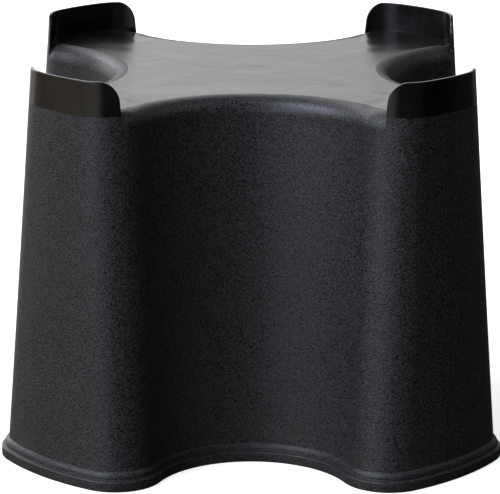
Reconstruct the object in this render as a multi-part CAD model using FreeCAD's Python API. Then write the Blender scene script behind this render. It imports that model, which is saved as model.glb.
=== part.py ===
import FreeCAD, Part
import os
import math
from FreeCAD import Vector as V

os.makedirs("parts", exist_ok=True)

# ---------------------------------------------------------------------------
# Free-standing stand for a round rainwater butt: one thin-walled, open-bottomed
# polypropylene moulding. Millimetres, +Z up, origin on the floor at the centre
# of the footprint. The plan repeats every 90 degrees: a concave scallop in the
# middle of each side and a rounded lobe (leg) at each corner.
#
# Each closed outline is tangent arcs only and has five numbers:
#   q  distance from the centre to the deepest point of a scallop
#   S  radius of the concave scallop arc
#   k  radius of the convex arc between scallop and lobe
#   R  radius of the lobe arc, whose centre is on the diagonal
#   E  distance from the centre to the lobe's outermost point on the diagonal
# ---------------------------------------------------------------------------
RIM = (157.80, 94.30, 46.00, 254.30, 284.40)      # outermost face of the foot rim
WALL_FOOT = (150.44, 101.66, 38.64, 246.94, 277.04)   # wall where it leaves the rim
WALL_DECK = (140.20, 125.80, 40.10, 193.40, 260.60)   # wall at the height of the deck

RIM_H = 18.5          # top of the foot rim, where the plain wall starts
DECK_H = 357.6        # upper face of the deck
LIP_H = 387.7         # top of the four retaining lips
WALL_T = 3.0          # wall thickness
DECK_T = 3.0          # deck thickness
SHOULDER_R = 16.3     # outer radius where a scalloped side rolls over into the deck
LEG_TOP = 354.2       # where the textured leg ends and the smooth lip begins
LIP_END_DEG = 22.0    # how far round the convex arc the lip runs past the widest point
LIP_TAPER_DEG = 5.0   # lean of the lip's two end edges
LIP_CORNER_R = 19.0   # rounding of the lip's two upper corners
ROOT_W = 2.6          # width of the sloped root along the inside of each lip
ROOT_H = 1.6          # height of that root above the deck

RIB_T = 2.6           # underside rib thickness
RIB_DEPTH = 30.0      # underside rib depth below the deck
RIB_PITCH = 75.0      # spacing of the rib lattice
RIB_DIAG_END = 246.0  # distance from the centre at which a corner rib meets its leg

# Foot rim section, walked round: distance inward from the outermost face, height.
RIM_OUT = [(3.30, 0.0), (0.90, 0.0), (0.0, 0.90), (0.0, 8.60)]
RIM_EDGE_MID = (0.56, 9.97)       # rounded top edge of the wide lower bead
RIM_SHELF = [(1.90, 10.50), (3.30, 10.70), (3.30, 12.40)]
RIM_BEAD_MID = (4.30, 15.90)      # narrow convex upper bead
RIM_TOP_OUT = (7.36, 18.50)
RIM_IN = [(10.36, 18.50), (10.36, 14.80), (6.90, 10.60), (3.70, 7.60), (3.70, 0.40)]

ZS = DECK_H - SHOULDER_R          # height at which the shoulder starts
LEAN = math.tan(math.radians(LIP_TAPER_DEG))


def at_height(z):
    """The wall's outer outline at height z: the draft is straight from foot to lip."""
    t = (z - RIM_H) / (DECK_H - RIM_H)
    return tuple(a + (b - a) * t for a, b in zip(WALL_FOOT, WALL_DECK))


def inset(p, d):
    return (p[0] - d, p[1] + d, p[2] - d, p[3] - d, p[4] - d)


def centres(p):
    """Scallop centre, convex-arc centre and lobe centre of the front-left eighth."""
    q, S, k, R, E = p
    C = (0.0, -(q + S))
    g = (E - R) / math.sqrt(2.0)
    G = (-g, -g)
    r1, r2 = R - k, S + k
    dx, dy = C[0] - G[0], C[1] - G[1]
    d = math.hypot(dx, dy)
    a = (r1 * r1 - r2 * r2 + d * d) / (2 * d)
    h = math.sqrt(r1 * r1 - a * a)
    ux, uy = dx / d, dy / d
    px, py = G[0] + a * ux, G[1] + a * uy
    c1 = (px - h * uy, py + h * ux)
    c2 = (px + h * uy, py - h * ux)
    c = c1 if c1[0] < c2[0] else c2
    return C, c, G


def unit(ax, ay, bx, by):
    d = math.hypot(bx - ax, by - ay)
    return (bx - ax) / d, (by - ay) / d


END_DIR = (math.sin(math.radians(LIP_END_DEG)), -math.cos(math.radians(LIP_END_DEG)))


def key_points(p):
    """Named points of the front-left eighth of one outline, as (x, y) pairs."""
    q, S, k, R, E = p
    C, c, G = centres(p)
    u = unit(C[0], C[1], c[0], c[1])
    w = unit(G[0], G[1], c[0], c[1])
    t1 = (C[0] + u[0] * S, C[1] + u[1] * S)          # scallop meets convex arc
    t2 = (G[0] + w[0] * R, G[1] + w[1] * R)          # convex arc meets lobe
    end = (c[0] + END_DIR[0] * k, c[1] + END_DIR[1] * k)     # where the lip stops

    def on_c(p1, p2):
        a = unit(c[0], c[1], *p1)
        b = unit(c[0], c[1], *p2)
        m = unit(0, 0, a[0] + b[0], a[1] + b[1])
        return (c[0] + m[0] * k, c[1] + m[1] * k)

    return {"q": (0.0, -q), "t1": t1, "t2": t2, "end": end, "d": (-E / math.sqrt(2), -E / math.sqrt(2)),
            "m_end_t1": on_c(t1, end), "m_end_t2": on_c(end, t2), "C": C, "c": c, "G": G}


def flip(pt):                       # mirror in the plane x = y: front side to left side
    return (pt[1], pt[0])


def mirror_x(pt):                   # mirror in x: front-left to front-right
    return (-pt[0], pt[1])


def v3(pt, z):
    return V(pt[0], pt[1], z)


def arc(a, m, b, z):
    return Part.Arc(v3(a, z), v3(m, z), v3(b, z)).toShape()


def line(a, b, z):
    return Part.LineSegment(v3(a, z), v3(b, z)).toShape()


def leg_wire(z, d_out, d_in):
    """Closed section of one corner wall (front-left) at height z."""
    p = at_height(z)
    o, i = key_points(inset(p, d_out)), key_points(inset(p, d_in))
    return Part.Wire([
        arc(o["end"], o["m_end_t2"], o["t2"], z),
        arc(o["t2"], o["d"], flip(o["t2"]), z),
        arc(flip(o["t2"]), flip(o["m_end_t2"]), flip(o["end"]), z),
        line(flip(o["end"]), flip(i["end"]), z),
        arc(flip(i["end"]), flip(i["m_end_t2"]), flip(i["t2"]), z),
        arc(flip(i["t2"]), i["d"], i["t2"], z),
        arc(i["t2"], i["m_end_t2"], i["end"], z),
        line(i["end"], o["end"], z)])


def side_wire(z, d_out, d_in):
    """Closed section of one scalloped wall (front) at height z."""
    p = at_height(z)
    o, i = key_points(inset(p, d_out)), key_points(inset(p, d_in))
    return Part.Wire([
        arc(o["end"], o["m_end_t1"], o["t1"], z),
        arc(o["t1"], o["q"], mirror_x(o["t1"]), z),
        arc(mirror_x(o["t1"]), mirror_x(o["m_end_t1"]), mirror_x(o["end"]), z),
        line(mirror_x(o["end"]), mirror_x(i["end"]), z),
        arc(mirror_x(i["end"]), mirror_x(i["m_end_t1"]), mirror_x(i["t1"]), z),
        arc(mirror_x(i["t1"]), i["q"], i["t1"], z),
        arc(i["t1"], i["m_end_t1"], i["end"], z),
        line(i["end"], o["end"], z)])


def ruled(w0, w1):
    s = Part.makeLoft([w0, w1], True, True)
    if s.Volume < 0:
        s.reverse()
    return s


def quarter_turn(shape, n):
    """Copy turned n quarter turns clockwise seen from above: front goes to left."""
    s = shape.copy()
    s.rotate(V(0, 0, 0), V(0, 0, 1), -90.0 * n)
    return s


# --- side panel: scalloped wall with the rolled shoulder at its top ------------
def shoulder_piece(centre, sense, r_wall, a0, a1):
    """Quarter-round shoulder turned about a vertical axis through centre.
    sense +1: the stand's material lies further from the axis than the wall
    (scallop); -1: nearer to it (convex arc). a0 to a1 in degrees."""
    def pt(off, z):
        return V(r_wall + sense * off, 0, z)
    r, t = SHOULDER_R, WALL_T
    s45 = math.sqrt(0.5)
    outer = Part.Arc(pt(0, ZS), pt(r - r * s45, ZS + r * s45), pt(r, DECK_H)).toShape()
    inner = Part.Arc(pt(r, DECK_H - t), pt(r - (r - t) * s45, ZS + (r - t) * s45), pt(t, ZS)).toShape()
    wire = Part.Wire([outer,
                      Part.LineSegment(pt(r, DECK_H), pt(r, DECK_H - t)).toShape(),
                      inner,
                      Part.LineSegment(pt(t, ZS), pt(0, ZS)).toShape()])
    s = Part.Face(wire).revolve(V(0, 0, 0), V(0, 0, 1), a1 - a0)
    s.rotate(V(0, 0, 0), V(0, 0, 1), a0)
    s.translate(V(centre[0], centre[1], 0))
    s = Part.Solid(s.Shells[0]) if s.ShapeType != "Solid" else s
    if s.Volume < 0:
        s.reverse()
    return s


def angle_of(c, pt):
    return math.degrees(math.atan2(pt[1] - c[1], pt[0] - c[0]))


def side_panel():
    p = at_height(ZS)
    K = key_points(p)
    wall = ruled(side_wire(RIM_H, 0.0, WALL_T), side_wire(ZS, 0.0, WALL_T))
    aR = angle_of(K["C"], mirror_x(K["t1"]))
    aL = angle_of(K["C"], K["t1"])
    pieces = [wall, shoulder_piece(K["C"], +1, p[1], aR, aL)]
    a_end = angle_of(K["c"], K["end"])
    a_t1 = angle_of(K["c"], K["t1"])
    left = shoulder_piece(K["c"], -1, p[2], a_end, a_t1)
    right = left.mirror(V(0, 0, 0), V(1, 0, 0))
    pieces += [left, right]
    s = pieces[0].multiFuse(pieces[1:])
    return s.Solids[0] if len(s.Solids) == 1 else s


# --- corner leg: the textured lobe wall ------------------------------------------
def corner_leg():
    low = ruled(leg_wire(RIM_H, 0.0, WALL_T), leg_wire(ZS, 0.0, WALL_T))
    top = ruled(leg_wire(ZS, 0.0, WALL_T), leg_wire(LEG_TOP, 0.0, WALL_T))
    s = low.fuse(top)
    return s.Solids[0] if len(s.Solids) == 1 else s


# --- retaining lip: smooth upstand above the deck, with rounded upper corners ----
def lip_end_cutter():
    """Everything beyond the tapered, round-cornered end of the front-left lip's
    front side: a prism along Y."""
    K = key_points(at_height(LEG_TOP))
    x0 = K["end"][0]
    z0, z1, r = LEG_TOP, LIP_H, LIP_CORNER_R
    slope = LEAN
    # Centre of the rounding: r below the top, and r left of the tapered edge.
    n = math.hypot(1.0, slope)
    zc = z1 - r
    xc = x0 - (zc - z0) * slope - r * n
    ax, az = xc, z1                                    # tangent point on the top
    bx, bz = xc + r / n, zc + r * slope / n            # tangent point on the end edge
    ang = (math.pi / 2 + math.atan(slope)) / 2
    mx, mz = xc + r * math.cos(ang), zc + r * math.sin(ang)
    far = x0 + 40.0
    lowz = z0 - 2.0
    e = [Part.LineSegment(V(ax, 0, az), V(ax, 0, z1 + 10)).toShape(),
         Part.LineSegment(V(ax, 0, z1 + 10), V(far, 0, z1 + 10)).toShape(),
         Part.LineSegment(V(far, 0, z1 + 10), V(far, 0, lowz)).toShape(),
         Part.LineSegment(V(far, 0, lowz), V(x0 + 2.0 * slope, 0, lowz)).toShape(),
         Part.LineSegment(V(x0 + 2.0 * slope, 0, lowz), V(bx, 0, bz)).toShape(),
         Part.Arc(V(bx, 0, bz), V(mx, 0, mz), V(ax, 0, az)).toShape()]
    f = Part.Face(Part.Wire(e))
    s = f.extrude(V(0, 120, 0))
    s.translate(V(0, -270, 0))
    return s


def retaining_lip():
    s = ruled(leg_wire(LEG_TOP, 0.0, WALL_T), leg_wire(LIP_H, 0.0, WALL_T))
    cut = lip_end_cutter()
    other = cut.mirror(V(0, 0, 0), V(1, -1, 0))        # same cut on the left side
    s = s.cut(cut).cut(other)
    # The root: the edge of the deck under the lip and the slope up its inner face.
    t, w = WALL_T, WALL_T + ROOT_W
    low = ruled(leg_wire(DECK_H - DECK_T, t, w), leg_wire(DECK_H, t, w))
    high = ruled(leg_wire(DECK_H, t, w), leg_wire(DECK_H + ROOT_H, t, t + 0.5))
    s = s.multiFuse([low, high])
    return s.Solids[0] if len(s.Solids) == 1 else s


# --- deck plate --------------------------------------------------------------------
def deck_wire(z):
    p1 = key_points(inset(at_height(ZS), SHOULDER_R))      # shoulder's inner edge
    p3 = key_points(inset(at_height(z), WALL_T + ROOT_W))  # foot of the lip's root

    def turn(pt, n):
        for _ in range(n):
            pt = (pt[1], -pt[0])
        return pt

    e = []
    for n in range(4):
        T = lambda pt: turn(pt, n)
        e += [arc(T(mirror_x(p1["t1"])), T(p1["q"]), T(p1["t1"]), z),
              arc(T(p1["t1"]), T(p1["m_end_t1"]), T(p1["end"]), z),
              line(T(p1["end"]), T(p3["end"]), z),
              arc(T(p3["end"]), T(p3["m_end_t2"]), T(p3["t2"]), z),
              arc(T(p3["t2"]), T(p3["d"]), T(flip(p3["t2"])), z),
              arc(T(flip(p3["t2"])), T(flip(p3["m_end_t2"])), T(flip(p3["end"])), z),
              line(T(flip(p3["end"])), T(flip(p1["end"])), z),
              arc(T(flip(p1["end"])), T(flip(p1["m_end_t1"])), T(flip(p1["t1"])), z)]
    return Part.Wire(e)


def deck():
    return ruled(deck_wire(DECK_H - DECK_T), deck_wire(DECK_H))


# --- foot rim: stepped bead round the whole bottom edge --------------------------------
def rim_section(r_wall, sense):
    def pt(off, z):
        return V(r_wall + sense * off, 0, z)

    def seg(a, b):
        return Part.LineSegment(pt(*a), pt(*b)).toShape()
    e = [seg(RIM_OUT[i], RIM_OUT[i + 1]) for i in range(3)]
    e.append(Part.Arc(pt(*RIM_OUT[3]), pt(*RIM_EDGE_MID), pt(*RIM_SHELF[0])).toShape())
    e += [seg(RIM_SHELF[0], RIM_SHELF[1]), seg(RIM_SHELF[1], RIM_SHELF[2])]
    e.append(Part.Arc(pt(*RIM_SHELF[2]), pt(*RIM_BEAD_MID), pt(*RIM_TOP_OUT)).toShape())
    e.append(seg(RIM_TOP_OUT, RIM_IN[0]))
    e += [seg(RIM_IN[i], RIM_IN[i + 1]) for i in range(4)]
    e.append(seg(RIM_IN[4], RIM_OUT[0]))
    return Part.Face(Part.Wire(e))


def rim_piece(centre, sense, r_wall, a0, a1):
    s = rim_section(r_wall, sense).revolve(V(0, 0, 0), V(0, 0, 1), a1 - a0)
    s.rotate(V(0, 0, 0), V(0, 0, 1), a0)
    s.translate(V(centre[0], centre[1], 0))
    s = Part.Solid(s.Shells[0]) if s.ShapeType != "Solid" else s
    if s.Volume < 0:
        s.reverse()
    return s


def foot_rim():
    K = key_points(RIM)
    quarter = []
    aR, aL = angle_of(K["C"], mirror_x(K["t1"])), angle_of(K["C"], K["t1"])
    quarter.append(rim_piece(K["C"], +1, RIM[1], aR, aL))
    a1, a2 = angle_of(K["c"], K["t1"]), angle_of(K["c"], K["t2"])
    if a2 > a1:
        a2 -= 360.0
    front = rim_piece(K["c"], -1, RIM[2], a2, a1)
    quarter.append(front)
    quarter.append(front.mirror(V(0, 0, 0), V(1, -1, 0)))
    b1, b2 = angle_of(K["G"], K["t2"]), angle_of(K["G"], flip(K["t2"]))
    if b1 < b2:
        b1 += 360.0
    quarter.append(rim_piece(K["G"], -1, RIM[3], b2, b1))
    allp = []
    for n in range(4):
        allp += [quarter_turn(s, n) for s in quarter]
    s = allp[0].multiFuse(allp[1:])
    return s.Solids[0] if len(s.Solids) == 1 else s


# --- underside ribs: a square lattice with one rib into each leg ---------------------------
def edge_distance(x):
    """Distance along Y from the centre line to the scallop's shoulder edge at x."""
    p = inset(at_height(ZS), SHOULDER_R)
    C, c, G = centres(p)
    K = key_points(p)
    if abs(x) <= abs(K["t1"][0]):
        return -(C[1] + math.sqrt(p[1] ** 2 - x * x))
    return -(c[1] - math.sqrt(max(p[2] ** 2 - (abs(x) + c[0]) ** 2, 0.0)))


def wall_distance(x):
    """The same to the inner face of the scalloped wall."""
    p = inset(at_height(ZS), WALL_T)
    C, c, G = centres(p)
    K = key_points(p)
    if abs(x) <= abs(K["t1"][0]):
        return -(C[1] + math.sqrt(p[1] ** 2 - x * x))
    return -(c[1] - math.sqrt(max(p[2] ** 2 - (abs(x) + c[0]) ** 2, 0.0)))


def plate_yz(x, pts):
    """A rib in a plane of constant x from (y, z) corner points."""
    w = Part.makePolygon([V(x - RIB_T / 2, y, z) for y, z in pts + pts[:1]])
    return Part.Face(w).extrude(V(RIB_T, 0, 0))


def full_rib(x):
    hi, lo = DECK_H - DECK_T, DECK_H - DECK_T - RIB_DEPTH
    m = abs(x) + RIB_T / 2 if x else RIB_T / 2
    inner = abs(x) - RIB_T / 2 if x else 0.0
    ye = min(edge_distance(m), edge_distance(inner)) - 0.2
    yw = min(wall_distance(m), wall_distance(inner)) - 0.2
    return ye, yw, hi, lo


def ribs():
    out = []
    h = RIB_T / 2
    for x in (-RIB_PITCH, 0.0, RIB_PITCH):
        ye, yw, hi, lo = full_rib(x)
        out.append(plate_yz(x, [(-ye, hi), (ye, hi), (yw, ZS), (yw, lo), (-yw, lo), (-yw, ZS)]))
    # Ribs across the first three, cut where they meet them.
    for y in (-RIB_PITCH, 0.0, RIB_PITCH):
        ye, yw, hi, lo = full_rib(y)
        inner = [(-RIB_PITCH + h, -h), (h, RIB_PITCH - h)]
        for a, b in inner:
            out.append(Part.makeBox(b - a, RIB_T, RIB_DEPTH, V(a, y - h, lo)))
        end = plate_yz(0.0, [(RIB_PITCH + h, hi), (ye, hi), (yw, ZS), (yw, lo), (RIB_PITCH + h, lo)])
        for s in (-1, 1):
            e = end.copy()
            e.rotate(V(0, 0, 0), V(0, 0, 1), -90.0 * s)
            e.translate(V(0, y, 0))
            out.append(e)
    # One rib from each outer crossing into the leg behind it.
    hi, lo = DECK_H - DECK_T, DECK_H - DECK_T - RIB_DEPTH
    start = math.sqrt(2) * (RIB_PITCH + h) + h
    for n in range(4):
        b = Part.makeBox(RIB_DIAG_END - start, RIB_T, RIB_DEPTH, V(start, -h, lo))
        b.rotate(V(0, 0, 0), V(0, 0, 1), 45.0 + 90.0 * n)
        out.append(b)
    return Part.makeCompound(out)


nodes = {}
nodes["deck"] = deck()
nodes["foot_rim"] = foot_rim()
nodes["deck_ribs"] = ribs()

panel = side_panel()
for n, name in enumerate(["front", "left", "back", "right"]):
    nodes["side_panel_" + name] = quarter_turn(panel, n)

leg = corner_leg()
lip = retaining_lip()
for n, name in enumerate(["front_left", "back_left", "back_right", "front_right"]):
    nodes["corner_leg_" + name] = quarter_turn(leg, n)
    nodes["retaining_lip_" + name] = quarter_turn(lip, n)

for name, shape in nodes.items():
    for s in shape.Solids:
        if not s.isValid() or s.Volume <= 0:
            raise RuntimeError("bad solid in " + name)
    shape.exportStep("parts/" + name + ".step")
    b = shape.BoundBox
    print("%-30s solids %2d  volume %9.1f cm3  x %7.1f %7.1f  y %7.1f %7.1f  z %6.1f %6.1f" % (
        name, len(shape.Solids), shape.Volume / 1000.0, b.XMin, b.XMax, b.YMin, b.YMax, b.ZMin, b.ZMax))
print("total volume cm3", round(sum(s.Volume for s in nodes.values()) / 1000.0, 1))
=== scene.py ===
import math
import bpy
import numpy as np
from mathutils import Matrix, Vector
from mathutils.geometry import delaunay_2d_cdt


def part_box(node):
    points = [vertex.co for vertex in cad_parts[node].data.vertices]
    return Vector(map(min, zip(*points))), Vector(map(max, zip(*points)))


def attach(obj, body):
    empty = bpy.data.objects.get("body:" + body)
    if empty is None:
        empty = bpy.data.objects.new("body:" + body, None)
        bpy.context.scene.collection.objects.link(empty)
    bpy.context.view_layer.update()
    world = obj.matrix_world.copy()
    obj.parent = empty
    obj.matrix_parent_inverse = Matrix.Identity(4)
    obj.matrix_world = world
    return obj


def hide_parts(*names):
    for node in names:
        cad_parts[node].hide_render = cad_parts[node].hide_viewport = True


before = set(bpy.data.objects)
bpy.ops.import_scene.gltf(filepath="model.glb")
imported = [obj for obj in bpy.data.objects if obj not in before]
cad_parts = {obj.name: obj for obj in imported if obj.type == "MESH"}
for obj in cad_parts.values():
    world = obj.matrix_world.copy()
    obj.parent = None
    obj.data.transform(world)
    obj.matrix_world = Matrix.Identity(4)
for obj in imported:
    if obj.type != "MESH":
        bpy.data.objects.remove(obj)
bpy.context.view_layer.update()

MM = 0.001
Z = np.array([0.0, 0.0, 1.0])

# ---------------------------------------------------------------------------
# The stand's plan in millimetres: each outline is tangent arcs with five
# numbers (scallop depth q, scallop radius S, convex radius k, lobe radius R,
# lobe reach E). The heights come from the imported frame.
# ---------------------------------------------------------------------------
RIM = np.array([157.80, 94.30, 46.00, 254.30, 284.40])
WALL_FOOT = np.array([150.44, 101.66, 38.64, 246.94, 277.04])
WALL_DECK = np.array([140.20, 125.80, 40.10, 193.40, 260.60])
INSET = np.array([-1.0, 1.0, -1.0, -1.0, -1.0])

RIM_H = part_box("side_panel_front")[0][2] / MM
DECK_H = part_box("deck")[1][2] / MM
LIP_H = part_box("retaining_lip_front_left")[1][2] / MM
LEG_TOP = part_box("corner_leg_front_left")[1][2] / MM
WALL_T = 3.0
DECK_T = 3.0
SHOULDER_R = 16.3
ZS = DECK_H - SHOULDER_R
LIP_R = 19.0
EDGE_R = 0.85
ROOT_R = 0.2
END = math.radians(-90.0 + 22.0)
TAPER = math.tan(math.radians(5.0))
BLEND_T = 13.0
SKIN = 0.05

NS, NA, NL = 40, 14, 12
NB_ROUND, NB_REST = 12, 10
NB = NB_ROUND + NB_REST
NQ = 2 * (NS + NA + NB + NL)
E1 = NS + NA
E2 = NQ - E1
TOTAL = 4 * NQ

# The plate stands this far above its flat, has sunk this far beside the lips'
# ends as it cooled, and sags this far along its left and right edges, in mm.
CROWN, SINK, SAG = 0.3, 1.8, 1.0
BOW, GATE, GATE_R = 1.1, 0.7, 27.0
# How far the texture runs over the shoulder onto the plate, in mm: at the middle
# of a side, where the flank starts, and at a lip's end.
TEX_MID, TEX_FLANK = 1.0, 3.0


def at_height(z):
    t = (np.asarray(z, float) - RIM_H) / (DECK_H - RIM_H)
    return WALL_FOOT[:, None] + (WALL_DECK - WALL_FOOT)[:, None] * t[None, :]


def circles(p):
    """Scallop centre, convex-arc centre, lobe centre and the two tangent directions."""
    q, S, k, R, E = p
    Cy = -(q + S)
    g = (E - R) / math.sqrt(2.0)
    dx, dy = g, Cy + g
    r1, r2 = R - k, S + k
    d = np.hypot(dx, dy)
    a = (r1 * r1 - r2 * r2 + d * d) / (2 * d)
    h = np.sqrt(np.maximum(r1 * r1 - a * a, 1e-9))
    ux, uy = dx / d, dy / d
    px, py = -g + a * ux, -g + a * uy
    c1x, c1y = px - h * uy, py + h * ux
    c2x, c2y = px + h * uy, py - h * ux
    first = c1x < c2x
    cx, cy = np.where(first, c1x, c2x), np.where(first, c1y, c2y)
    ang_c = np.arctan2(cy - Cy, cx)
    ang_c = np.where(ang_c < 0, ang_c + 2 * np.pi, ang_c)
    ang_g = np.arctan2(cy + g, cx + g)
    return Cy, cx, cy, -g, ang_c, ang_g


class Stations:
    """Places round the outline: segment (0 scallop, 1 convex arc up to the lip's
    end, 2 convex arc under the lip, 3 lobe), fraction along it, mirrored half,
    quarter turn."""

    def __init__(self, seg, f, mir, turn):
        self.seg, self.f = np.array(seg), np.array(f, float)
        self.mir, self.turn = np.array(mir, bool), np.array(turn)
        self.n = len(self.seg)

    def take(self, idx):
        return Stations(self.seg[idx], self.f[idx], self.mir[idx], self.turn[idx])

    def points(self, z, off=0.0, rim=False, df=0.0):
        n = self.n
        z = np.broadcast_to(np.asarray(z, float), n)
        off = np.broadcast_to(np.asarray(off, float), n)
        p = (np.repeat(RIM[:, None], n, 1) if rim else at_height(z)) + INSET[:, None] * off[None, :]
        Cy, cx, cy, g, ang_c, ang_g = circles(p)
        f = self.f + df
        th_s = np.pi / 2 + (ang_c - np.pi / 2) * f
        a0 = ang_c - np.pi
        a0 = np.where(a0 > 0, a0 - 2 * np.pi, a0)
        th_a = a0 + (END - a0) * f
        th_b = END + (ang_g - END) * f
        th_l = ang_g + (-0.75 * np.pi - ang_g) * f
        s = self.seg
        x = np.select([s == 0, s == 1, s == 2], [p[1] * np.cos(th_s), cx + p[2] * np.cos(th_a), cx + p[2] * np.cos(th_b)], g + p[3] * np.cos(th_l))
        y = np.select([s == 0, s == 1, s == 2], [Cy + p[1] * np.sin(th_s), cy + p[2] * np.sin(th_a), cy + p[2] * np.sin(th_b)], g + p[3] * np.sin(th_l))
        x, y = np.where(self.mir, y, x), np.where(self.mir, x, y)
        for t in (1, 2, 3):
            m = self.turn >= t
            x, y = np.where(m, y, x), np.where(m, -x, y)
        return np.stack([x, y, z], -1)

    def outward(self, z, rim=False, df=0.0):
        """Horizontal outward direction."""
        return unit(self.points(z, 0.0, rim, df) - self.points(z, 1.0, rim, df))

    def normal(self, z, df=0.0):
        """Outward normal of the drafted wall."""
        H = self.outward(z, False, df)
        up = self.points(np.asarray(z) + 2.0, 0.0, False, df) - self.points(np.asarray(z) - 2.0, 0.0, False, df)
        lean = (up * H).sum(-1, keepdims=True) / 4.0
        return unit(H - lean * Z)


def unit(v):
    return v / np.maximum(np.linalg.norm(v, axis=-1, keepdims=True), 1e-12)


_c = circles(at_height([DECK_H]))
LB = float(at_height([DECK_H])[2][0] * abs(_c[5][0] - END))
_phi = np.linspace(0, np.pi / 2, NB_ROUND + 1)
_t_round = (LIP_R - EDGE_R) * (1 - np.cos(_phi))
F_B = np.concatenate([_t_round, np.linspace(_t_round[-1], LB, NB_REST + 1)[1:]]) / LB


def ring():
    rows = []
    half = [(0, u) for u in np.linspace(0, 1, NS + 1)[:-1]] + [(1, u) for u in np.linspace(0, 1, NA + 1)[:-1]] \
        + [(2, u) for u in F_B[:-1]] + [(3, u) for u in np.linspace(0, 1, NL + 1)[:-1]]
    back = [(3, u) for u in np.linspace(1, 0, NL + 1)[:-1]] + [(2, u) for u in F_B[::-1][:-1]] \
        + [(1, u) for u in np.linspace(1, 0, NA + 1)[:-1]] + [(0, u) for u in np.linspace(1, 0, NS + 1)[:-1]]
    for t in range(4):
        rows += [(s, u, False, t) for s, u in half] + [(s, u, True, t) for s, u in back]
    return Stations(*zip(*rows))


RING = ring()


def leg_span(n):
    st = RING.take(np.arange(n * NQ + E1, n * NQ + E2 + 1) % TOTAL)
    for j in (0, -1):
        st.seg[j], st.f[j] = 2, 0.0
    return st


def panel_span(n):
    st = RING.take(np.arange(n * NQ - E1, n * NQ + E1 + 1) % TOTAL)
    st.seg[0], st.f[0], st.mir[0], st.turn[0] = 1, 1.0, True, (n - 1) % 4
    st.seg[-1], st.f[-1], st.mir[-1], st.turn[-1] = 1, 1.0, False, n
    return st


def smooth01(x):
    x = np.clip(x, 0, 1)
    return x * x * (3 - 2 * x)


def plan_depth(x, y):
    """Distance inward from the outline at deck level, for x and y folded into
    the half quarter that the outline's numbers describe."""
    p = at_height([DECK_H])
    Cy, cx, cy, g, ang_c, ang_g = (float(v[0]) if np.ndim(v) else float(v) for v in circles(p))
    S, k, R = float(p[1][0]), float(p[2][0]), float(p[3][0])
    scallop = np.hypot(x, y - Cy) - S
    past = np.arctan2(y - Cy, x) > ang_c
    flank = k - np.hypot(x - cx, y - cy)
    lobe = R - np.hypot(x - g, y - g)
    return np.where(past, scallop, np.minimum(flank, lobe))


def lift(x, y):
    """How far the moulded deck stands off its flat: up a little as a whole, sunk
    beside each lip's end, where the plate rounds over towards the side, sagging
    along its left and right edges, bowed up along the front one, and dished at
    the gate in the middle. Returns the height and its two slopes."""
    def f(a, b):
        a, b = np.abs(a), np.abs(b)
        u = np.minimum(a, b)
        s = plan_depth(-u, -np.maximum(a, b))
        near = smooth01((44.0 - s) / 26.0) * (1.0 - 0.6 * smooth01((18.0 - s) / 14.0))
        ends = SINK * smooth01((135.0 - u) / 30.0) * smooth01((u - 40.0) / 70.0) * near
        t = np.clip((b - 58.0) / 67.0, 0.0, 1.06)
        t = np.where(t > 0.94, 1.0 - (1.06 - t) ** 2 / 0.24, t)
        side = SAG * (1.0 - t * t) * smooth01((a - 60.0) / 50.0)
        k = smooth01((a - b) / 60.0)
        return CROWN - ends * (1.0 - k) - side * k
    def whole(x, y):
        bow = BOW * smooth01((-y - 75.0) / 60.0) * (1.0 - smooth01((np.abs(x) - 118.0) / 34.0))
        r = np.hypot(x, y) / GATE_R
        gate = GATE * np.where(r < 1, np.cos(np.clip(r, 0, 1) * np.pi / 2) ** 2, 0.0) - 0.4 * GATE * np.where(r < 0.4, np.cos(np.clip(r / 0.4, 0, 1) * np.pi / 2) ** 2, 0.0)
        return f(x, y) + bow - gate
    h = 0.5
    return whole(x, y), (whole(x + h, y) - whole(x - h, y)) / (2 * h), (whole(x, y + h) - whole(x, y - h)) / (2 * h)


def deform(V, N):
    """Moves deck-level points up by the dish, and turns normals with them."""
    L, Lx, Ly = lift(V[:, 0], V[:, 1])
    z = V[:, 2]
    def g(z):
        up = np.clip((z - (ZS - 30)) / (SHOULDER_R + 27.0), 0, 1)
        dn = np.clip((z - (DECK_H + 6)) / (LIP_H - DECK_H - 10), 0, 1)
        sm = lambda t: t * t * (3 - 2 * t)
        return sm(up) * (1 - sm(dn))
    gz = g(z)
    dg = (g(z + 0.2) - g(z - 0.2)) / 0.4
    a = np.stack([Lx * gz, Ly * gz, L * dg], -1)
    W = V.copy()
    W[:, 2] += L * gz
    M = N - a * N[:, 2:3] / (1 + a[:, 2:3])
    return W, unit(M)


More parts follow.
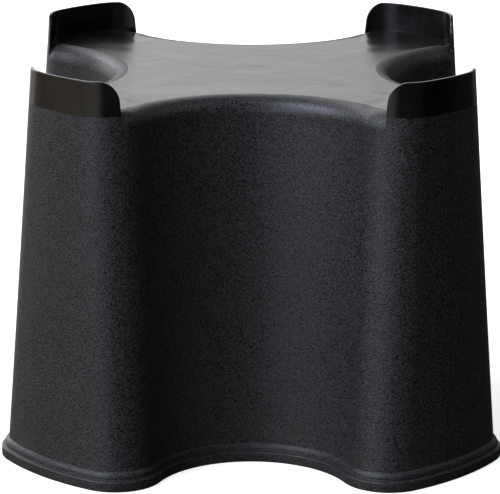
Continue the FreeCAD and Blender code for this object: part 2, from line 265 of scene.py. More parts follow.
class Builder:
    """Grids of points with a normal at each, welded into one closed mesh."""

    def __init__(self):
        self.v, self.n, self.faces, self.count = [], [], [], 0

    def grid(self, P, N, wrap=False):
        r, c = P.shape[:2]
        base = self.count
        self.v.append(P.reshape(-1, 3))
        self.n.append(np.broadcast_to(N, P.shape).reshape(-1, 3))
        self.count += r * c
        for i in range(r - 1):
            for j in range(c if wrap else c - 1):
                k = (j + 1) % c
                self.faces.append([base + i * c + j, base + i * c + k, base + (i + 1) * c + k, base + (i + 1) * c + j])

    def flat(self, P, wrap=False):
        """A grid whose faces keep their own normals."""
        r, c = P.shape[:2]
        for i in range(r - 1):
            for j in range(c if wrap else c - 1):
                k = (j + 1) % c
                self.poly([P[i, j], P[i, k], P[i + 1, k], P[i + 1, j]])

    def poly(self, q, normal=None):
        q = np.array(q, float)
        if normal is None:
            nn = np.zeros(3)
            for i in range(len(q)):
                nn += np.cross(q[i], q[(i + 1) % len(q)])
            if np.linalg.norm(nn) < 1e-7:
                return
            normal = unit(nn)
        base = self.count
        self.v.append(q)
        self.n.append(np.repeat(np.array(normal)[None, :], len(q), 0))
        self.count += len(q)
        self.faces.append(list(range(base, base + len(q))))

    def tris(self, P, N, faces):
        base = self.count
        self.v.append(P)
        self.n.append(N)
        self.count += len(P)
        for f in faces:
            self.faces.append([base + i for i in f])

    def mesh(self, name):
        import bmesh
        V = np.vstack(self.v)
        N = unit(np.vstack(self.n))
        key = np.round(V * 1e4).astype(np.int64)
        _, first, inv = np.unique(key, axis=0, return_index=True, return_inverse=True)
        inv = np.asarray(inv).reshape(-1)
        W, _ = deform(V[first], N[first])
        _, N = deform(V, N)
        polys, norms = [], []
        for f in self.faces:
            ids, ns = [], []
            for v in f:
                w = int(inv[v])
                if not ids or ids[-1] != w:
                    ids.append(w)
                    ns.append(N[v])
            while len(ids) > 1 and ids[0] == ids[-1]:
                ids.pop()
                ns.pop()
            if len(ids) < 3 or len(set(ids)) != len(ids):
                continue
            polys.append(ids)
            norms.append(dict(zip(ids, ns)))
        me = bpy.data.meshes.new(name)
        me.from_pydata([tuple(p * MM) for p in W], [], polys)
        me.update()
        # One winding over the whole closed piece, outward.
        bm = bmesh.new()
        bm.from_mesh(me)
        bmesh.ops.recalc_face_normals(bm, faces=bm.faces)
        open_edges = sum(1 for e in bm.edges if len(e.link_faces) != 2)
        bm.to_mesh(me)
        bm.free()
        me.update()
        loops = []
        for poly, ns in zip(me.polygons, norms):
            fn = np.array(poly.normal)
            for li in poly.loop_indices:
                n = ns[me.loops[li].vertex_index]
                if np.dot(n, fn) < 0:
                    n = -n
                loops.append(tuple(n))
        me.shade_smooth()
        me.normals_split_custom_set(loops)
        print("piece %-26s verts %6d faces %6d open edges %d" % (name, len(me.vertices), len(me.polygons), open_edges))
        return me


def drop(off):
    """How far the shoulder lies below the deck at an inward distance off."""
    o = SHOULDER_R - np.clip(off, 0, SHOULDER_R)
    return SHOULDER_R - np.sqrt(np.maximum(SHOULDER_R ** 2 - o ** 2, 0))


def edge_t(st):
    """Distance of each leg station from the nearer lip end."""
    return np.where(st.seg == 2, st.f * LB, LB + 5.0)


A3 = math.acos(1 - WALL_T / SHOULDER_R)
N_IN = 14
ALPHAS = np.concatenate([np.linspace(0, A3, 9), np.linspace(A3, np.pi / 2, N_IN)[1:]])
WALL_Z = np.linspace(RIM_H, ZS, 25)


def shoulder_rows(st, r):
    P = np.stack([st.points(ZS, SHOULDER_R - r * np.cos(a)) for a in ALPHAS])
    P[:, :, 2] = (ZS + r * np.sin(ALPHAS))[:, None]
    H = st.outward(ZS)
    N = np.cos(ALPHAS)[:, None, None] * H[None] + np.sin(ALPHAS)[:, None, None] * Z
    return P, N


def texture_reach(st):
    """How far inward of the shoulder's line the textured surface runs."""
    on = np.where(st.seg == 0, TEX_MID + (TEX_FLANK - TEX_MID) * smooth01(st.f), TEX_FLANK * (1 - smooth01(st.f)))
    return np.where(st.seg < 2, on, 0.0)


# --- side panels ---------------------------------------------------------------
def panel_mesh(n, name):
    st = panel_span(n)
    b = Builder()
    outer = np.stack([st.points(z) for z in WALL_Z])
    inner = np.stack([st.points(z, WALL_T) for z in WALL_Z])
    NW = np.stack([st.normal(z) for z in WALL_Z])
    SP, SN = shoulder_rows(st, SHOULDER_R)
    TP, TN = shoulder_rows(st, SHOULDER_R - WALL_T)
    mid = unit(NW[-1] + SN[0])
    NW[-1], SN[0] = mid, mid
    reach = texture_reach(st)
    over = []
    for u in (0.25, 0.5, 0.75, 1.0):
        row = st.points(ZS, SHOULDER_R + reach * u)
        row[:, 2] = DECK_H
        over.append(row)
    over = np.stack(over)
    SP, TP = np.concatenate([SP, over]), np.concatenate([TP, over - WALL_T * Z])
    up = np.broadcast_to(Z, over.shape)
    SN, TN = np.concatenate([SN, up]), np.concatenate([TN, up])
    b.grid(outer, NW)
    b.grid(SP, SN)
    b.flat(np.stack([SP[-1], TP[-1]]))
    b.grid(TP, TN)
    b.grid(inner, NW)
    b.flat(np.stack([inner[0], outer[0]]))
    for j in (0, st.n - 1):
        b.flat(np.stack([outer[:, j], inner[:, j]], 1))
        b.flat(np.stack([SP[:, j], TP[:, j]], 1))
    return b.mesh(name)


# --- legs ------------------------------------------------------------------------
def edge_inset(z):
    return EDGE_R * np.clip((np.asarray(z, float) - ZS) / 6.0, 0, 1)


def leg_df(st, z, e, disp=0.0):
    """Shift of the stations along the wall for the tapered, rounded ends."""
    t = edge_t(st)
    fade = np.clip(1 - t / LB, 0, 1)
    move = TAPER * np.maximum(0.0, np.asarray(z, float) - LEG_TOP)
    return np.where(st.seg == 2, ((move + e) * fade - disp) / LB, 0.0)


PS = np.linspace(0, np.pi / 2, 5)


def end_ribbon(b, st, j, zs):
    """End face of the wall at column j with its two rounded edges."""
    one = st.take(np.array([j]))

    def col(disp, off_of):
        out = []
        for z in zs:
            e = float(edge_inset(z))
            out.append(one.points(z, off_of(e), df=leg_df(one, z, e * (1 - disp)))[0])
        return np.array(out)
    NO = np.stack([one.normal(z)[0] for z in zs])
    step = 0.02
    inward = np.stack([one.points(z, 0.0, df=step)[0] - one.points(z, 0.0)[0] for z in zs])
    D = -unit(inward)
    D = unit(D - NO * (D * NO).sum(-1, keepdims=True))
    for sign, base in ((1, lambda e, p: e * (1 - math.cos(p))), (-1, lambda e, p: WALL_T - e * (1 - math.cos(p)))):
        rows, norms = [], []
        for p in PS:
            rows.append(col(math.sin(p), lambda e, p=p: base(e, p)))
            norms.append(sign * math.cos(p) * NO + math.sin(p) * D)
        b.grid(np.stack(rows), np.stack(norms))
    rows = np.stack([col(1.0, lambda e: e), col(1.0, lambda e: WALL_T - e)])
    b.grid(rows, np.stack([D, D]))


def section_loop(st, z):
    """Closed outline of the leg's section at height z, as the ribbons leave it."""
    e = float(edge_inset(z))
    outer = st.points(z, 0.0, df=leg_df(st, z, e))
    inner = st.points(z, WALL_T, df=leg_df(st, z, e))

    def ends(j):
        one = st.take(np.array([j]))
        pts = [one.points(z, e * (1 - math.cos(p)), df=leg_df(one, z, e * (1 - math.sin(p))))[0] for p in PS]
        pts += [one.points(z, WALL_T - e * (1 - math.cos(p)), df=leg_df(one, z, e * (1 - math.sin(p))))[0] for p in PS[::-1]]
        return pts
    return outer, inner, ends(0), ends(st.n - 1)


def cap(b, st, z, normal):
    """Flat end of the leg or lip wall at height z, as quads and two end fans."""
    outer, inner, e0, e1 = section_loop(st, z)
    for j in range(st.n - 1):
        b.poly([outer[j], outer[j + 1], inner[j + 1], inner[j]], normal)
    b.poly(e0, normal)
    b.poly(e1, normal)


LEG_Z = np.concatenate([WALL_Z, ZS + np.array([1.2, 2.6, 4.2, 6.0, 9.0]), [LEG_TOP]])


def leg_mesh(n, name):
    st = leg_span(n)
    b = Builder()
    outer = np.stack([st.points(z, 0.0, df=leg_df(st, z, edge_inset(z))) for z in LEG_Z])
    inner = np.stack([st.points(z, WALL_T, df=leg_df(st, z, edge_inset(z))) for z in LEG_Z])
    NN = np.stack([st.normal(z, df=leg_df(st, z, edge_inset(z))) for z in LEG_Z])
    b.grid(outer, NN)
    b.grid(inner, NN)
    for j in range(st.n - 1):
        b.poly([outer[0, j], outer[0, j + 1], inner[0, j + 1], inner[0, j]], -Z)
    end_ribbon(b, st, 0, LEG_Z)
    end_ribbon(b, st, st.n - 1, LEG_Z)
    cap(b, st, LEG_TOP, Z)
    return b.mesh(name)


# --- lips ------------------------------------------------------------------------
def lip_rim(st):
    """Height of the lip's faces at each station, below the edge rounding."""
    t = edge_t(st) + EDGE_R
    inside = np.maximum((LIP_R - EDGE_R) ** 2 - np.maximum(LIP_R - t, 0) ** 2, 0)
    return np.where(t < LIP_R, LIP_H - LIP_R + np.sqrt(inside), LIP_H - EDGE_R)


def root_of(st):
    """Fillet radius, share of the shoulder's fall, and height of the fillet's foot."""
    t = edge_t(st)
    rf = ROOT_R * smooth01((t - 0.5) / 7.0)
    w = 1.0 - smooth01(t / BLEND_T)
    return rf, w, DECK_H - w * drop(WALL_T + rf)


def near_wall(st, z, off):
    """Points beside the inner face: on the shoulder's own outline at the lip's
    ends, and on the drafted wall elsewhere."""
    k = smooth01(edge_t(st) / 6.0)[:, None]
    P = st.points(ZS, off) * (1 - k) + st.points(z, off) * k
    P[:, 2] = z
    return P


def lip_mesh(n, name):
    """The upstand: two faces, a rounded free edge and two rounded ends."""
    st = leg_span(n)
    b = Builder()
    top = lip_rim(st)
    rows = LEG_TOP + (top - LEG_TOP)[None, :] * np.linspace(0, 1, 11)[:, None]
    NN = np.stack([st.normal(z, df=leg_df(st, z, EDGE_R)) for z in rows])
    b.grid(np.stack([st.points(z, 0.0, df=leg_df(st, z, EDGE_R)) for z in rows]), NN)
    b.grid(np.stack([st.points(z, WALL_T, df=leg_df(st, z, EDGE_R)) for z in rows]), NN)
    cap(b, st, LEG_TOP, -Z)
    t = edge_t(st)
    phi = np.where(t < LIP_R - EDGE_R, np.arccos(np.clip((LIP_R - EDGE_R - t) / (LIP_R - EDGE_R), -1, 1)), np.pi / 2)
    NO = NN[-1]
    here = st.points(top, 0.0, df=leg_df(st, top, EDGE_R))
    tin = np.where((st.seg == 2)[:, None], unit(st.points(top, 0.0, df=leg_df(st, top, EDGE_R) + 0.01) - here), 0.0)
    D = -tin * np.cos(phi)[:, None] + Z * np.sin(phi)[:, None]
    D = unit(D - NO * (D * NO).sum(-1, keepdims=True))

    def contour(disp, off):
        z = top + disp * np.sin(phi)
        return st.points(z, off, df=leg_df(st, z, EDGE_R, disp * np.cos(phi)))
    for sign, base in ((1, lambda p: EDGE_R * (1 - math.cos(p))), (-1, lambda p: WALL_T - EDGE_R * (1 - math.cos(p)))):
        b.grid(np.stack([contour(EDGE_R * math.sin(p), base(p)) for p in PS]),
               np.stack([sign * math.cos(p) * NO + math.sin(p) * D for p in PS]))
    b.grid(np.stack([contour(EDGE_R, EDGE_R), contour(EDGE_R, WALL_T - EDGE_R)]), np.stack([D, D]))
    for j in (0, st.n - 1):
        end_ribbon(b, st, j, rows[:, j])
    return b.mesh(name)


FILLET = np.linspace(0, np.pi / 2, 5)


def fillet_rows(st):
    rf, w, foot = root_of(st)
    P = [near_wall(st, foot + rf * (1 - math.sin(a)), WALL_T + rf * (1 - math.cos(a))) for a in FILLET]
    H = st.outward(DECK_H)
    N = [-H * math.cos(a) + Z * math.sin(a) for a in FILLET]
    return np.stack(P), np.stack(N)


def root_mesh(n, name):
    """The fillet along the inside of a lip, and the edge of the deck under it."""
    st = leg_span(n)
    b = Builder()
    P, N = fillet_rows(st)
    b.grid(P, N)
    rf, w, foot = root_of(st)
    low = P[-1] - DECK_T * Z
    back_low = near_wall(st, foot, 2.6) - DECK_T * Z
    back_top = near_wall(st, foot + rf, 2.6)
    loop = [P[-1], low, back_low, back_top, P[0]]
    b.flat(np.stack(loop))
    for j in (0, st.n - 1):
        b.poly([p[j] for p in P] + [low[j], back_low[j], back_top[j]])
    return b.mesh(name)


# --- deck ------------------------------------------------------------------------
def deck_band(n):
    """The deck between the shoulder's line and a lip's root. Rows run from the
    shoulder's line outward."""
    st = leg_span(n)
    rf, w, foot = root_of(st)
    F = fillet_rows(st)[0][-1]
    R = st.points(ZS, SHOULDER_R)
    R[:, 2] = DECK_H
    a0 = np.arccos(np.clip(1 - (WALL_T + rf) / SHOULDER_R, -1, 1))
    rows = []
    for u in np.linspace(0, 1, N_IN):
        al = np.pi / 2 + (a0 - np.pi / 2) * u
        off = SHOULDER_R * (1 - np.cos(al))
        s = ((SHOULDER_R - off) / (SHOULDER_R - WALL_T - rf))[:, None]
        P = R * (1 - s) + F * s
        P[:, 2] = DECK_H - w * drop(off)
        rows.append(P)
    P = np.stack(rows)
    du = np.gradient(P, axis=0)
    dv = np.gradient(P, axis=1)
    N = unit(np.cross(dv, du))
    N = np.where(N[..., 2:3] < 0, -N, N)
    N[0] = Z
    al = np.pi / 2 + (a0[0] - np.pi / 2) * np.linspace(0, 1, N_IN)
    for j in (0, -1):
        H = st.outward(ZS)[j]
        N[:, j] = np.cos(al)[:, None] * H + np.sin(al)[:, None] * Z
    return P, N


def inside(poly, pts):
    x, y = pts[:, 0], pts[:, 1]
    res = np.zeros(len(pts), bool)
    a, b = poly, np.roll(poly, -1, 0)
    for (x0, y0), (x1, y1) in zip(a, b):
        cross = (y0 > y) != (y1 > y)
        if cross.any():
            xi = (x1 - x0) * (y - y0) / (y1 - y0 + 1e-12) + x0
            res ^= cross & (x < xi)
    return res


def deck_mesh(name):
    b = Builder()
    loop = RING.points(ZS, SHOULDER_R + texture_reach(RING))[:, :2]
    step = 7.0
    xs = np.arange(-34, 35) * step
    g = np.array([(x + (step / 2 if j % 2 else 0.0), y * 0.866) for j, y in enumerate(xs) for x in xs])
    g = g[inside(loop, g)]
    dist = np.array([np.min(np.hypot(*(loop - p).T)) for p in g])
    g = g[dist > 4.0]
    verts = [Vector((float(p[0]), float(p[1]))) for p in np.vstack([loop, g])]
    m = len(loop)
    out = delaunay_2d_cdt(verts, [(i, (i + 1) % m) for i in range(m)], [list(range(m))], 1, 1e-5)
    known = np.vstack([loop, g])
    top = np.array([[*(known[o[0]] if o else (v.x, v.y)), DECK_H] for v, o in zip(out[0], out[3])])
    b.tris(top, np.repeat(Z[None], len(top), 0), out[2])
    b.tris(top - DECK_T * Z, np.repeat(-Z[None], len(top), 0), out[2])
    ring3 = np.concatenate([loop, np.full((m, 1), DECK_H)], 1)
    edge = []
    for n in range(4):
        P, N = deck_band(n)
        b.grid(P, N)
        b.grid(P - DECK_T * Z, -N)
        for k in range(-E1, E1 + 1):
            edge.append(ring3[(n * NQ + k) % TOTAL])
        edge += list(P[1:, 0]) + list(P[-1, 1:]) + list(P[1:-1, -1][::-1])
    edge = np.array(edge)
    b.flat(np.stack([edge, edge - DECK_T * Z]), wrap=True)
    return b.mesh(name)


# --- foot rim ----------------------------------------------------------------------
def rounded(points, radii, n=5):
    """Closed section with each corner rounded, as (distance inward, height)."""
    out = []
    m = len(points)
    for i in range(m):
        p0, p1, p2 = (np.array(points[(i + d) % m], float) for d in (-1, 0, 1))
        a, c = unit(p0 - p1), unit(p2 - p1)
        ang = math.acos(max(-1.0, min(1.0, float(np.dot(a, c)))))
        r = radii[i]
        if r <= 0 or ang > math.radians(179):
            out.append(p1)
            continue
        d = min(r / math.tan(ang / 2), 0.45 * np.linalg.norm(p0 - p1), 0.45 * np.linalg.norm(p2 - p1))
        r = d * math.tan(ang / 2)
        s, e = p1 + a * d, p1 + c * d
        mid = p1 + unit(a + c) * (r / math.sin(ang / 2))
        a0 = math.atan2(*(s - mid)[::-1])
        a1 = math.atan2(*(e - mid)[::-1])
        while a1 - a0 > math.pi:
            a1 -= 2 * math.pi
        while a1 - a0 < -math.pi:
            a1 += 2 * math.pi
        out += [mid + r * np.array([math.cos(t), math.sin(t)]) for t in np.linspace(a0, a1, n)]
    return np.array(out)


def arc3(a, m, c, n):
    """Points on the arc through three points, both ends left out."""
    ax, ay = a; bx, by = m; cx, cy = c
    d = 2 * (ax * (by - cy) + bx * (cy - ay) + cx * (ay - by))
    ux = ((ax * ax + ay * ay) * (by - cy) + (bx * bx + by * by) * (cy - ay) + (cx * cx + cy * cy) * (ay - by)) / d
    uy = ((ax * ax + ay * ay) * (cx - bx) + (bx * bx + by * by) * (ax - cx) + (cx * cx + cy * cy) * (bx - ax)) / d
    r = math.hypot(ax - ux, ay - uy)
    t0, t1 = math.atan2(ay - uy, ax - ux), math.atan2(cy - uy, cx - ux)
    tm = math.atan2(by - uy, bx - ux)
    if not (min(t0, t1) <= tm <= max(t0, t1)):
        t1 += 2 * math.pi if t1 < t0 else -2 * math.pi
    return [(ux + r * math.cos(t), uy + r * math.sin(t)) for t in np.linspace(t0, t1, n + 2)[1:-1]]


def rim_profile():
    pts, rad = [], []
    def add(p, r=0.0):
        pts.append(p); rad.append(r)
    add((3.30, 0.0), 0.4)
    add((0.90, 0.0), 0.6)
    add((0.0, 0.90), 0.8)
    add((0.0, 8.60))
    for p in arc3((0.0, 8.60), (0.56, 9.97), (1.90, 10.50), 7):
        add(p)
    add((1.90, 10.50))
    add((3.30, 10.70), 0.55)
    add((3.30, 12.40), 0.0)
    for p in arc3((3.30, 12.40), (4.30, 15.90), (7.36, 18.50), 11):
        add(p)
    add((7.36, 18.50))
    add((10.36, 18.50), 0.3)
    add((10.36, 14.80), 1.5)
    add((6.90, 10.60), 1.5)
    add((3.70, 7.60), 1.5)
    add((3.70, 0.40), 0.3)
    return rounded(pts, rad)


def rim_mesh(name):
    prof = rim_profile()
    nxt, prv = np.roll(prof, -1, 0), np.roll(prof, 1, 0)
    d = unit(unit(nxt - prof) + unit(prof - prv))
    # Profile runs bottom, outer side, top, inner side: outward is to the left.
    nrm = np.stack([-d[:, 1], d[:, 0]], -1)
    b = Builder()
    rows, norms = [], []
    H = RING.outward(0.0, rim=True)
    for (off, z), (no, nz) in zip(prof, nrm):
        P = RING.points(0.0, off, rim=True)
        P[:, 2] = z
        rows.append(P)
        norms.append(-no * H + nz * Z)
    rows.append(rows[0]); norms.append(norms[0])
    P, N = np.stack(rows), np.stack(norms)
    # Keep the section's own sense whichever way it was walked.
    c = prof.mean(0)
    if np.mean([(p - c) @ q for p, q in zip(prof, nrm)]) < 0:
        N = -N
    b.grid(P, N, wrap=True)
    return b.mesh(name)


CORNERS = ["front_left", "back_left", "back_right", "front_right"]
SIDES = ["front", "left", "back", "right"]


def add_piece(me, slot_name, *nodes):
    ob = bpy.data.objects.new(me.name, me)
    bpy.context.scene.collection.objects.link(ob)
    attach(ob, "root")
    if nodes:
        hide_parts(*nodes)
    return ob


rough_pieces, smooth_pieces = [], []
for n in range(4):
    rough_pieces.append(add_piece(panel_mesh(n, "panel_" + SIDES[n] + "_wall"), "textured_plastic", "side_panel_" + SIDES[n]))
    rough_pieces.append(add_piece(leg_mesh(n, "leg_" + CORNERS[n] + "_wall"), "textured_plastic", "corner_leg_" + CORNERS[n]))
    smooth_pieces.append(add_piece(lip_mesh(n, "lip_" + CORNERS[n] + "_upstand"), "smooth_plastic", "retaining_lip_" + CORNERS[n]))
    smooth_pieces.append(add_piece(root_mesh(n, "lip_" + CORNERS[n] + "_root"), "smooth_plastic"))
smooth_pieces.append(add_piece(deck_mesh("deck_face"), "smooth_plastic", "deck"))
rough_pieces.append(add_piece(rim_mesh("foot_rim_beads"), "textured_plastic", "foot_rim"))
rib_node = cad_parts["deck_ribs"]


# ---------------------------------------------------------------------------
# Materials
# ---------------------------------------------------------------------------
def base_material(name, colour, rough):
    m = bpy.data.materials.new(name)
    m.use_nodes = True
    nt = m.node_tree
    p = nt.nodes["Principled BSDF"]
    p.inputs["Base Color"].default_value = (*colour, 1)
    p.inputs["Roughness"].default_value = rough
    p.inputs["IOR"].default_value = 1.49
    co = nt.nodes.new("ShaderNodeTexCoord")
    return m, nt, p, co


def noise(nt, co, scale, detail=3.0, rough=0.55):
    n = nt.nodes.new("ShaderNodeTexNoise")
    n.inputs["Scale"].default_value = scale
    n.inputs["Detail"].default_value = detail
    n.inputs["Roughness"].default_value = rough
    nt.links.new(co.outputs["Object"], n.inputs["Vector"])
    return n


def remap(nt, src, lo, hi, a, b):
    r = nt.nodes.new("ShaderNodeMapRange")
    r.inputs["From Min"].default_value = lo
    r.inputs["From Max"].default_value = hi
    r.inputs["To Min"].default_value = a
    r.inputs["To Max"].default_value = b
    nt.links.new(src, r.inputs["Value"])
    return r.outputs["Result"]


def bump(nt, height, strength, distance, before=None):
    b = nt.nodes.new("ShaderNodeBump")
    b.inputs["Strength"].default_value = strength
    b.inputs["Distance"].default_value = distance
    nt.links.new(height, b.inputs["Height"])
    if before is not None:
        nt.links.new(before, b.inputs["Normal"])
    return b.outputs["Normal"]


def shoulder_wear(nt, co):
    """1 along the middle of each rolled shoulder, where the texture is rubbed
    smoother, fading to 0 down the wall, at the deck and towards the legs."""
    place = nt.nodes.new("ShaderNodeSeparateXYZ")
    nt.links.new(co.outputs["Object"], place.inputs[0])
    size = []
    for axis in "XY":
        a = nt.nodes.new("ShaderNodeMath")
        a.operation = 'ABSOLUTE'
        nt.links.new(place.outputs[axis], a.inputs[0])
        size.append(a.outputs["Value"])
    along = nt.nodes.new("ShaderNodeMath")
    along.operation = 'MINIMUM'
    nt.links.new(size[0], along.inputs[0])
    nt.links.new(size[1], along.inputs[1])
    value = remap(nt, along.outputs["Value"], 0.07, 0.11, 1.0, 0.0)
    for lo, hi, a, b in ((26.0, 6.0, 0.0, 1.0), (4.0, 1.0, 1.0, 0.0)):
        both = nt.nodes.new("ShaderNodeMath")
        both.operation = 'MULTIPLY'
        nt.links.new(value, both.inputs[0])
        nt.links.new(remap(nt, place.outputs["Z"], (DECK_H - lo) * MM, (DECK_H - hi) * MM, a, b), both.inputs[1])
        value = both.outputs["Value"]
    return value


def textured_plastic():
    """Spark-eroded texture: fine pits about 1.5 mm apart. The base colour is random grain tone plus painted shade,
    because it follows the pits' bump and goes black in the pits.
    """
    m, nt, p, co = base_material("textured_black_plastic", (0.012, 0.012, 0.013), 0.30)
    grain = noise(nt, co, 1500.0, 2.0, 0.6)
    coarse = noise(nt, co, 640.0, 2.0, 0.55)
    patch = noise(nt, co, 22.0, 4.0, 0.6)
    gloss = nt.nodes.new("ShaderNodeMath")
    gloss.operation = 'ADD'
    nt.links.new(remap(nt, coarse.outputs["Fac"], 0.36, 0.64, -0.08, 0.08), gloss.inputs[0])
    nt.links.new(remap(nt, patch.outputs["Fac"], 0.3, 0.7, 0.40, 0.48), gloss.inputs[1])
    worn = shoulder_wear(nt, co)
    rubbed = nt.nodes.new("ShaderNodeMath")
    rubbed.operation = 'MULTIPLY_ADD'
    rubbed.inputs[1].default_value = -0.13
    nt.links.new(worn, rubbed.inputs[0])
    nt.links.new(gloss.outputs["Value"], rubbed.inputs[2])
    nt.links.new(rubbed.outputs["Value"], p.inputs["Roughness"])
    # Base colour: random grain tone plus painted shade. The same noise that sinks the bump takes the colour to black
    # in the pits and to its palest on the crests.
    mix = nt.nodes.new("ShaderNodeMix")
    mix.data_type = 'RGBA'
    mix.inputs["A"].default_value = (0.0, 0.0, 0.0, 1)
    mix.inputs["B"].default_value = (0.042, 0.042, 0.0441, 1)
    nt.links.new(remap(nt, coarse.outputs["Fac"], 0.36, 0.64, 0.0, 1.0), mix.inputs["Factor"])
    nt.links.new(mix.outputs["Result"], p.inputs["Base Color"])
    n1 = bump(nt, coarse.outputs["Fac"], 1.0, 0.0005)
    depth = remap(nt, worn, 0.0, 1.0, 1.0, 0.7)
    nt.links.new(depth, n1.node.inputs["Strength"])
    n2 = bump(nt, grain.outputs["Fac"], 1.0, 0.00015, n1)
    nt.links.new(n2, p.inputs["Normal"])
    return m


def smooth_plastic(name, haze):
    """Moulded gloss, a little uneven, with fine rub marks from handling, and on
    the deck a pale haze in flowing patches, where the melt cooled differently."""
    m, nt, p, co = base_material(name, (0.005, 0.005, 0.0055), 0.20)
    patch = noise(nt, co, 14.0, 4.0, 0.6)
    rub = noise(nt, co, 160.0, 3.0, 0.6)
    wave = noise(nt, co, 18.0, 2.0, 0.5)
    nt.links.new(remap(nt, patch.outputs["Fac"], 0.3, 0.7, 0.17, 0.22), p.inputs["Roughness"])
    mix = nt.nodes.new("ShaderNodeMix")
    mix.data_type = 'RGBA'
    mix.inputs["A"].default_value = (0.004, 0.004, 0.0044, 1)
    mix.inputs["B"].default_value = (0.008, 0.008, 0.0086, 1)
    nt.links.new(remap(nt, rub.outputs["Fac"], 0.36, 0.64, 0.0, 1.0), mix.inputs["Factor"])
    colour = mix.outputs["Result"]
    if haze:
        flow = noise(nt, co, 11.0, 3.0, 0.5)
        flow.inputs["Distortion"].default_value = 1.6
        over = nt.nodes.new("ShaderNodeMix")
        over.data_type = 'RGBA'
        over.inputs["B"].default_value = (0.012, 0.0123, 0.0125, 1)
        nt.links.new(remap(nt, flow.outputs["Fac"], 0.40, 0.64, 0.0, 1.0), over.inputs["Factor"])
        nt.links.new(colour, over.inputs["A"])
        colour = over.outputs["Result"]
    nt.links.new(colour, p.inputs["Base Color"])
    n1 = bump(nt, wave.outputs["Fac"], 0.12, 0.0006)
    if haze:
        swirl = noise(nt, co, 24.0, 3.0, 0.5)
        swirl.inputs["Distortion"].default_value = 1.2
        away = nt.nodes.new("ShaderNodeVectorMath")
        away.operation = 'LENGTH'
        flat = nt.nodes.new("ShaderNodeVectorMath")
        flat.operation = 'MULTIPLY'
        flat.inputs[1].default_value = (1.0, 1.0, 0.0)
        nt.links.new(co.outputs["Object"], flat.inputs[0])
        nt.links.new(flat.outputs["Vector"], away.inputs[0])
        here = nt.nodes.new("ShaderNodeMath")
        here.operation = 'MULTIPLY'
        nt.links.new(remap(nt, away.outputs["Value"], 0.09, 0.17, 1.0, 0.0), here.inputs[0])
        nt.links.new(swirl.outputs["Fac"], here.inputs[1])
        n1 = bump(nt, here.outputs["Value"], 1.0, 0.0007, n1)
    n2 = bump(nt, rub.outputs["Fac"], 1.0, 0.0001, n1)
    nt.links.new(n2, p.inputs["Normal"])
    return m


M_ROUGH = textured_plastic()
M_SMOOTH = smooth_plastic("smooth_black_plastic", False)
M_DECK = smooth_plastic("smooth_black_plastic_deck", True)
for ob in rough_pieces:
    ob.data.materials.append(M_ROUGH)
for ob in smooth_pieces:
    ob.data.materials.append(M_DECK if ob.name == "deck_face" else M_SMOOTH)
for s_ in rib_node.material_slots:
    s_.material = M_ROUGH
if not rib_node.material_slots:
    print("ribs have no slot")


# ---------------------------------------------------------------------------
# Floor, light and camera
# ---------------------------------------------------------------------------
floor_me = bpy.data.meshes.new("studio_floor")
floor_me.from_pydata([(-9, -9, 0), (9, -9, 0), (9, 9, 0), (-9, 9, 0)], [], [(0, 1, 2, 3)])
floor = bpy.data.objects.new("studio_floor", floor_me)
bpy.context.scene.collection.objects.link(floor)
fm = bpy.data.materials.new("studio_floor_paper")
fm.use_nodes = True
fp = fm.node_tree.nodes["Principled BSDF"]
fp.inputs["Base Color"].default_value = (0.8, 0.8, 0.8, 1)
fp.inputs["Roughness"].default_value = 0.9
fp.inputs["Specular IOR Level"].default_value = 0.0
fp.inputs["Emission Color"].default_value = (1, 1, 1, 1)
fp.inputs["Emission Strength"].default_value = 0.75
floor_me.materials.append(fm)
floor.visible_glossy = False
floor.visible_diffuse = False
floor.visible_shadow = False

# The studio round the object: a dark room with soft panels of light. Each line is
# azimuth (0 is the camera's side, positive towards -X), elevation, how far the
# panel reaches from its middle, all in degrees, and its red, green and blue
# strength. Every panel fades softly towards its edge.
PANELS = [
    (-50, -38, 30, 0.28, 0.28, 0.28),
    (66, -18, 22.5, 0.57, 0.48, 0.34),
    (-108, 0, 22.5, 0.031, 0.033, 0.031),
    (-36, 0, 30, 0.033, 0.028, 0.0092),
    (36, 0, 30, 0.54, 0.48, 0.42),
    (90, 0, 22.5, 0.46, 0.37, 0.25),
    (126, 0, 22.5, 0.96, 0.88, 0.78),
    (-142, 18, 40, 0.21, 0.21, 0.2),
    (-9, 18, 22.5, 0.28, 0.28, 0.24),
    (28, 18, 22.5, 1.4, 1.5, 1.8),
    (47, 18, 22.5, 1.4, 1.6, 2),
    (142, 18, 22.5, 2.7, 2.6, 2.9),
    (161, 18, 40, 1.13, 1.15, 1.13),
    (68, 36, 22.5, 4.8, 4.9, 5.9),
    (158, 36, 22.5, 2, 2, 2.1),
    (-70, 54, 32, 0.6, 0.6, 0.6),
    (60, 54, 22.5, 4.9, 5.4, 6.2),
]


world = bpy.data.worlds.new("studio")
bpy.context.scene.world = world
world.use_nodes = True
wn = world.node_tree
wn.nodes.clear()


def wnode(kind, **props):
    n = wn.nodes.new(kind)
    for k, v in props.items():
        setattr(n, k, v)
    return n


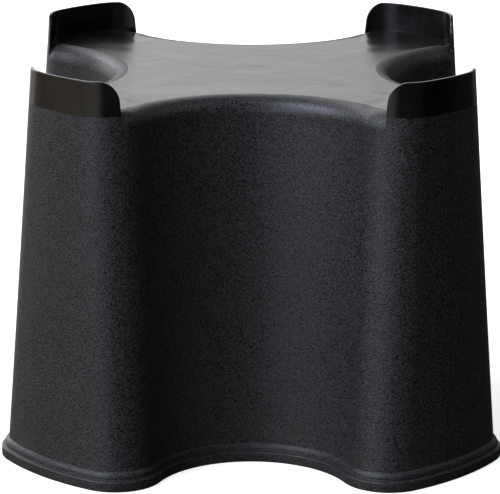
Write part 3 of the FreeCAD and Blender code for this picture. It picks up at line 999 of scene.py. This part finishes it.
w_dir = wnode("ShaderNodeTexCoord")
total = None
for az, el, reach, r_, g_, b_ in PANELS:
    a_, e_ = math.radians(az), math.radians(el)
    dot = wnode("ShaderNodeVectorMath", operation='DOT_PRODUCT')
    wn.links.new(w_dir.outputs["Generated"], dot.inputs[0])
    dot.inputs[1].default_value = (-math.sin(a_) * math.cos(e_), -math.cos(a_) * math.cos(e_), math.sin(e_))
    edge = wnode("ShaderNodeMapRange", interpolation_type='SMOOTHSTEP')
    edge.inputs["From Min"].default_value = math.cos(math.radians(reach))
    edge.inputs["From Max"].default_value = math.cos(math.radians(0.65 * (reach - 20.0) + 0.2))
    wn.links.new(dot.outputs["Value"], edge.inputs["Value"])
    add = wnode("ShaderNodeVectorMath", operation='MULTIPLY_ADD')
    wn.links.new(edge.outputs["Result"], add.inputs[0])
    add.inputs[1].default_value = (r_, g_, b_)
    if total is not None:
        wn.links.new(total, add.inputs[2])
    total = add.outputs["Vector"]
w_lit = wnode("ShaderNodeBackground")
wn.links.new(total, w_lit.inputs["Color"])
w_seen = wnode("ShaderNodeBackground")
w_seen.inputs["Color"].default_value = (1, 1, 1, 1)
w_path = wnode("ShaderNodeLightPath")
w_mix = wnode("ShaderNodeMixShader")
wn.links.new(w_path.outputs["Is Camera Ray"], w_mix.inputs[0])
wn.links.new(w_lit.outputs["Background"], w_mix.inputs[1])
wn.links.new(w_seen.outputs["Background"], w_mix.inputs[2])
w_out = wnode("ShaderNodeOutputWorld")
wn.links.new(w_mix.outputs["Shader"], w_out.inputs["Surface"])

D_CAM, H_CAM, PITCH, YAW, ROLL = 2.675, 0.9016, 0.26473, 0.0084, 0.0045
F_PX, PX, PY = 2736.54, 251.253, 244.738
fwd = Vector((math.sin(YAW) * math.cos(PITCH), math.cos(YAW) * math.cos(PITCH), -math.sin(PITCH)))
right = Vector((math.cos(YAW), -math.sin(YAW), 0))
up = Vector((math.sin(YAW) * math.sin(PITCH), math.cos(YAW) * math.sin(PITCH), math.cos(PITCH)))
cr, sr = math.cos(ROLL), math.sin(ROLL)
R_c, U_c = right * cr + up * sr, up * cr - right * sr
cam_data = bpy.data.cameras.new("photo_camera")
cam = bpy.data.objects.new("photo_camera", cam_data)
bpy.context.scene.collection.objects.link(cam)
mat = Matrix((R_c, U_c, -fwd)).transposed().to_4x4()
mat.translation = Vector((-D_CAM * math.sin(YAW), -D_CAM * math.cos(YAW), H_CAM))
cam.matrix_world = mat
cam_data.sensor_fit = 'HORIZONTAL'
cam_data.sensor_width = 36.0
cam_data.lens = 36.0 * F_PX / 500.0
cam_data.shift_x = (250.0 - PX) / 500.0
cam_data.shift_y = (PY - 247.0) / 500.0
cam_data.clip_start, cam_data.clip_end = 0.1, 60.0
cam_data.dof.use_dof = False
bpy.context.scene.camera = cam
bpy.context.scene.view_settings.view_transform = 'Standard'
bpy.context.scene.view_settings.look = 'None'
